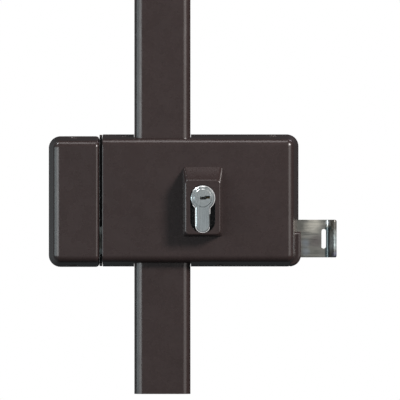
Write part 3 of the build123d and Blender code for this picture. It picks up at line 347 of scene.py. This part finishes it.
# Finish of each slot: maker, dark and light colour, lowest and highest roughness, and for metal
# its streaks, stain, contrast and bump
FINISHES = {
    "brown_paint": (enamel, (0.0240, 0.0156, 0.0150), (0.0268, 0.0176, 0.0170), 0.25, 0.30),
    "dark_screw": (enamel, (0.030, 0.022, 0.021), (0.042, 0.031, 0.029), 0.34, 0.46),
    "zinc_plate": (metal, (0.42, 0.43, 0.42), (0.54, 0.54, 0.52), 0.32, 0.46, FINE_Z, 0.5),
    "bright_steel": (
        metal, (0.68, 0.72, 0.70), (0.82, 0.84, 0.81), 0.30, 0.44, ROLLED, 0.3, 0.14
    ),
    "gear_steel": (metal, (0.24, 0.24, 0.25), (0.36, 0.35, 0.34), 0.30, 0.48, FINE_Y, 0.2),
    "satin_nickel": (
        metal, (0.71, 0.75, 0.76), (0.77, 0.80, 0.80), 0.26, 0.32, FINE_Z, 0.1, 0.05, 0.05
    ),
    # Brass pins darkened far below brass's own colour: painted shade for pins seen deep in the
    # keyway
    "pin_brass": (metal, (0.20, 0.15, 0.08), (0.28, 0.21, 0.12), 0.30, 0.44, FINE_Y),
    "spring_steel": (metal, (0.34, 0.34, 0.35), (0.48, 0.48, 0.48), 0.22, 0.36, FINE_X, 0.1),
    "rivet_steel": (metal, (0.42, 0.42, 0.43), (0.54, 0.54, 0.54), 0.28, 0.42, FINE_Y, 0.2),
    "zinc_screw": (metal, (0.48, 0.48, 0.48), (0.60, 0.60, 0.58), 0.24, 0.40, FINE_Y, 0.4),
    "black_nylon": (moulded, (0.018, 0.018, 0.019), (0.030, 0.030, 0.031)),
}
MATERIALS = {name: make(name, *values) for name, (make, *values) in FINISHES.items()}

# The strap's pull tab, with painted highlights, reflections and shade, and the painted shade on
# the keyway walls
STRAP_STEEL_PAINTED_LIGHT = steel_with_painted_light(
    "strap_steel_painted_light", (0.265, 0.26, 0.235), (0.36, 0.35, 0.32), 0.30, 0.42, ROLLED,
    shade_line=(0.0889, 0.0022, -0.0195, (0.115, 0.14, 0.145)),
    # Spots of painted highlight and reflection (bright tints) and painted shade (dark tints) on
    # the strap and its lip
    painted_spots=(
        ((0.0790, -0.0115, -0.0195), 0.0075, (0.78, 0.74, 0.65)),
        ((0.0735, -0.0115, -0.0320), 0.0040, (0.35, 0.37, 0.40)),
        ((0.0735, -0.0115, -0.0380), 0.0040, (0.35, 0.37, 0.39)),
        ((0.0810, -0.0115, -0.0310), 0.0070, (0.26, 0.235, 0.225)),
        ((0.0925, -0.0150, -0.0310), 0.0090, (0.86, 0.98, 0.99)),
        ((0.0900, -0.0130, -0.0175), 0.0030, (0.86, 0.90, 0.92)),
        ((0.0910, -0.0140, -0.0215), 0.0020, (0.17, 0.24, 0.25)),
        ((0.0945, -0.0160, -0.0405), 0.0035, (0.36, 0.37, 0.48)),
    ),
)
# Near-black brass for the keyway walls: painted shade for the depth of the keyway
KEYWAY_PAINTED_SHADE = metal(
    "keyway_painted_shade", (0.020, 0.019, 0.016), (0.034, 0.032, 0.027), 0.45, 0.6, FINE_Y
)

BODY_OF = {}
for body, members in frame["record"]["behaviour"]["bodies"].items():
    for member in members:
        BODY_OF[member] = body
SLOT_OF = {row["node"]: row["material_slot"] for row in frame["record"]["subparts"]}
for name, slot in SLOT_OF.items():
    node = frame["nodes"][name]
    node.data.materials.clear()
    node.data.materials.append(MATERIALS[slot])


# Pieces dressed for the render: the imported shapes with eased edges, and coils for the springs
def adopt(piece, name):
    """Let a piece stand for a CAD node, on its body and in its finish."""
    piece.data.materials.clear()
    piece.data.materials.append(MATERIALS[SLOT_OF[name]])
    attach(piece, BODY_OF[name])
    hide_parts(name)


def placed(name, work, crease):
    """Object for a finished bmesh, smooth but for its creases."""
    mesh = bpy.data.meshes.new(name)
    work.to_mesh(mesh)
    work.free()
    mesh.shade_smooth()
    mesh.set_sharp_from_angle(angle=crease)
    piece = bpy.data.objects.new(name, mesh)
    bpy.context.collection.objects.link(piece)
    return piece


def weigh_normals(piece):
    """Bake normals that follow the larger faces, so flats stay flat beside their roundings."""
    weighted = piece.modifiers.new("weighted", "WEIGHTED_NORMAL")
    weighted.keep_sharp = True
    ready = piece.evaluated_get(bpy.context.evaluated_depsgraph_get())
    plain = piece.data
    baked = bpy.data.meshes.new_from_object(ready)
    piece.modifiers.clear()
    piece.data = baked
    bpy.data.meshes.remove(plain)


def eased(name, width):
    """Copy of a CAD node whose sharp edges are rounded over by a small width."""
    work = bmesh.new()
    work.from_mesh(frame["nodes"][name].data)
    bmesh.ops.remove_doubles(work, verts=work.verts, dist=WELD)
    bmesh.ops.dissolve_limit(work, angle_limit=FLAT_ANGLE, verts=work.verts, edges=work.edges)
    edges = [e for e in work.edges if e.is_manifold and e.calc_face_angle() > EDGE_ANGLE]
    bmesh.ops.bevel(
        work,
        geom=edges,
        offset=width,
        offset_type="OFFSET",
        segments=BEVEL_SEGMENTS,
        profile=0.5,
        affect="EDGES",
        clamp_overlap=True,
        harden_normals=False,
        miter_outer="ARC",
    )
    bmesh.ops.remove_doubles(work, verts=work.verts, dist=WELD_BEVELLED)
    piece = placed("eased_" + name, work, CREASE_ANGLE)
    weigh_normals(piece)
    adopt(piece, name)
    return piece


# Width of the easing, in millimetres
EASED = {
    "case_cover": 0.25,
    "keeper_cover": 0.25,
    "upper_rod_cover": 0.25,
    "lower_rod_cover": 0.25,
    "cylinder_guard": 0.2,
    "cylinder_body": 0.25,
    "inner_plug": 0.12,
    "outer_plug": 0.12,
    "latch_strap": 0.25,
    "base_plate": 0.2,
    "keeper_bracket": 0.2,
    "deadbolt": 0.2,
    "latch_head": 0.15,
    "bolt_guide": 0.2,
    "upper_rack": 0.12,
    "lower_rack": 0.12,
    "upper_rod": 0.15,
    "lower_rod": 0.15,
    "upper_rod_guide": 0.2,
    "lower_rod_guide": 0.2,
    "strap_guide": 0.2,
    "case_cover_screws": 0.08,
    "keeper_cover_screws": 0.08,
    "rod_cover_screws": 0.08,
}
dressed = {name: eased(name, width * MM) for name, width in EASED.items()}
# The tab's steel carries painted highlights, reflections and shade
dressed["latch_strap"].data.materials[0] = STRAP_STEEL_PAINTED_LIGHT
# Walls inside the keyway get the painted shade
for name in ("inner_plug", "outer_plug"):
    mesh = dressed[name].data
    mesh.materials.append(KEYWAY_PAINTED_SHADE)
    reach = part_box(name)[1].x
    for face in mesh.polygons:
        inside = math.hypot(face.center.x, face.center.z) < KEYWAY_REACH * reach
        if inside and abs(face.normal.y) < KEYWAY_TURN:
            face.material_index = 1


def coil(name, start, end, radius, wire, turns, sides=8, steps=28):
    """Compression spring between two points, with closed turns at both ends.

    It is a closed tube with that many sides, and that many steps in a turn.
    """
    start, end = Vector(start), Vector(end)
    axis = (end - start).normalized()
    side = axis.orthogonal().normalized()
    up = axis.cross(side)
    length = (end - start).length
    total = int(turns * steps)
    dead = CLOSED_TURNS * wire * CLOSED_PITCH
    points = []
    for k in range(total + 1):
        turn = k / steps
        if turn < CLOSED_TURNS:
            along = wire / 2 + dead * turn / CLOSED_TURNS
        elif turn > turns - CLOSED_TURNS:
            along = length - wire / 2 - dead * (turns - turn) / CLOSED_TURNS
        else:
            free = (turn - CLOSED_TURNS) / (turns - 2 * CLOSED_TURNS)
            along = wire / 2 + dead + free * (length - wire - 2 * dead)
        angle = 2 * math.pi * turn
        out = side * math.cos(angle) + up * math.sin(angle)
        points.append(start + axis * along + out * radius)
    work = bmesh.new()
    rings = []
    for k, point in enumerate(points):
        tangent = (points[min(k + 1, total)] - points[max(k - 1, 0)]).normalized()
        out = point - start
        out = (out - axis * out.dot(axis)).normalized()
        across = tangent.cross(out).normalized()
        ring = []
        for s in range(sides):
            turn = 2 * math.pi * s / sides
            rim = out * math.cos(turn) + across * math.sin(turn)
            ring.append(work.verts.new(point + rim * wire / 2))
        rings.append(ring)
    for first, second in zip(rings, rings[1:]):
        for s in range(sides):
            after = (s + 1) % sides
            work.faces.new((first[s], first[after], second[after], second[s]))
    work.faces.new(list(reversed(rings[0])))
    work.faces.new(rings[-1])
    bmesh.ops.recalc_face_normals(work, faces=work.faces)
    return placed(name, work, COIL_CREASE)


low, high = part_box("latch_spring")
middle = (low + high) / 2
spring = coil(
    "latch_coil_spring",
    (low.x, middle.y, middle.z),
    (high.x, middle.y, middle.z),
    (high.z - low.z) / 2 - LATCH_WIRE / 2,
    LATCH_WIRE,
    LATCH_TURNS,
)
adopt(spring, "latch_spring")
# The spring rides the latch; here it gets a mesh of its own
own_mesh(spring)

for side in ("inner", "outer"):
    low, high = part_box(side + "_pin_springs")
    middle = (low + high) / 2
    radius = (high.x - low.x) / 2
    coils = []
    for k in range(PIN_COUNT):
        at = low.y + radius + k * PIN_PITCH
        coils.append(
            coil(
                f"{side}_pin_coil_{k + 1}",
                (middle.x, at, low.z),
                (middle.x, at, high.z),
                radius - PIN_INSET,
                PIN_WIRE,
                PIN_TURNS,
                sides=6,
                steps=20,
            )
        )
    whole = bmesh.new()
    for piece in coils:
        whole.from_mesh(piece.data)
    joined = coils[0]
    joined.name = side + "_pin_coils"
    whole.to_mesh(joined.data)
    whole.free()
    for piece in coils[1:]:
        bpy.data.objects.remove(piece)
    adopt(joined, side + "_pin_springs")


# Stage: floor, surroundings, lights and camera
def stage_floor():
    s = Shader("pale_floor")
    s.color(s.blend(s.noise(scale=3, detail=2, roughness=0.5), grey(0.88), grey(0.91)))
    s.rough(s.noise(scale=40, detail=2, roughness=0.5), 0.55, 0.7)
    s.set(Specular_IOR_Level=0.2)
    mesh = bpy.data.meshes.new("floor")
    corners = [
        (-FLOOR_SIDE, FLOOR_FRONT, FLOOR_Z),
        (FLOOR_SIDE, FLOOR_FRONT, FLOOR_Z),
        (FLOOR_SIDE, FLOOR_BACK, FLOOR_Z),
        (-FLOOR_SIDE, FLOOR_BACK, FLOOR_Z),
    ]
    mesh.from_pydata(corners, [], [(0, 1, 2, 3)])
    mesh.materials.append(s.material)
    floor = bpy.data.objects.new("floor", mesh)
    floor.visible_diffuse = False
    floor.visible_glossy = False
    bpy.context.collection.objects.link(floor)


def surroundings():
    """White to the camera. As light, cool in front, dim behind and brighter on the left."""
    world = bpy.data.worlds.new("surroundings")
    world.use_nodes = True
    n = Nodes(world.node_tree)
    n.tree.nodes.clear()
    toward = n.apart(n.node("ShaderNodeTexCoord").outputs["Generated"])
    front = n.range(toward["Y"], FRONT_BAND, (FRONT_LEVEL, BACK_LEVEL), "SMOOTHSTEP")
    side = n.range(toward["X"], LEFT_BAND, (LEFT_GAIN, 1.0), "SMOOTHSTEP")
    fill = n.node("ShaderNodeBackground")
    fill.inputs["Color"].default_value = SURROUND
    n.link(n.math("MULTIPLY", front, side), fill.inputs["Strength"])
    seen = n.node("ShaderNodeBackground")
    seen.inputs["Color"].default_value = WHITE
    choice = n.node("ShaderNodeMixShader")
    n.link(n.node("ShaderNodeLightPath").outputs["Is Camera Ray"], choice.inputs["Fac"])
    n.link(fill.outputs[0], choice.inputs[1])
    n.link(seen.outputs[0], choice.inputs[2])
    n.link(choice.outputs[0], n.node("ShaderNodeOutputWorld").inputs["Surface"])
    bpy.context.scene.world = world


def softbox(name, bearing, height, size, power, color):
    """Rectangular light turned to the origin, from a bearing on the camera's side."""
    turn, lift = math.radians(bearing), math.radians(height)
    place = LIGHT_DISTANCE * Vector(
        (math.sin(turn) * math.cos(lift), -math.cos(turn) * math.cos(lift), math.sin(lift))
    )
    data = bpy.data.lights.new(name, "AREA")
    data.shape = "RECTANGLE"
    data.size, data.size_y = size
    data.energy = power
    data.color = color
    light = bpy.data.objects.new(name, data)
    light.location = place
    light.rotation_euler = (-place).to_track_quat("-Z", "Y").to_euler()
    light.visible_camera = False
    bpy.context.collection.objects.link(light)


stage_floor()
surroundings()
for name, values in SOFTBOXES.items():
    softbox(name, *values)

camera_data = bpy.data.cameras.new("camera")
camera_data.sensor_width = SENSOR
camera_data.lens = SENSOR * CAMERA_DISTANCE / VIEW_WIDTH
camera_data.clip_start, camera_data.clip_end = CLIP_NEAR, CLIP_FAR
camera_data.dof.use_dof = False
camera = bpy.data.objects.new("camera", camera_data)
camera.location = (SIGHT_X, SCALE_Y - CAMERA_DISTANCE, SIGHT_Z)
camera.rotation_euler = (math.radians(90), 0, 0)
bpy.context.collection.objects.link(camera)
bpy.context.scene.camera = camera
bpy.context.scene.view_settings.view_transform = "Standard"
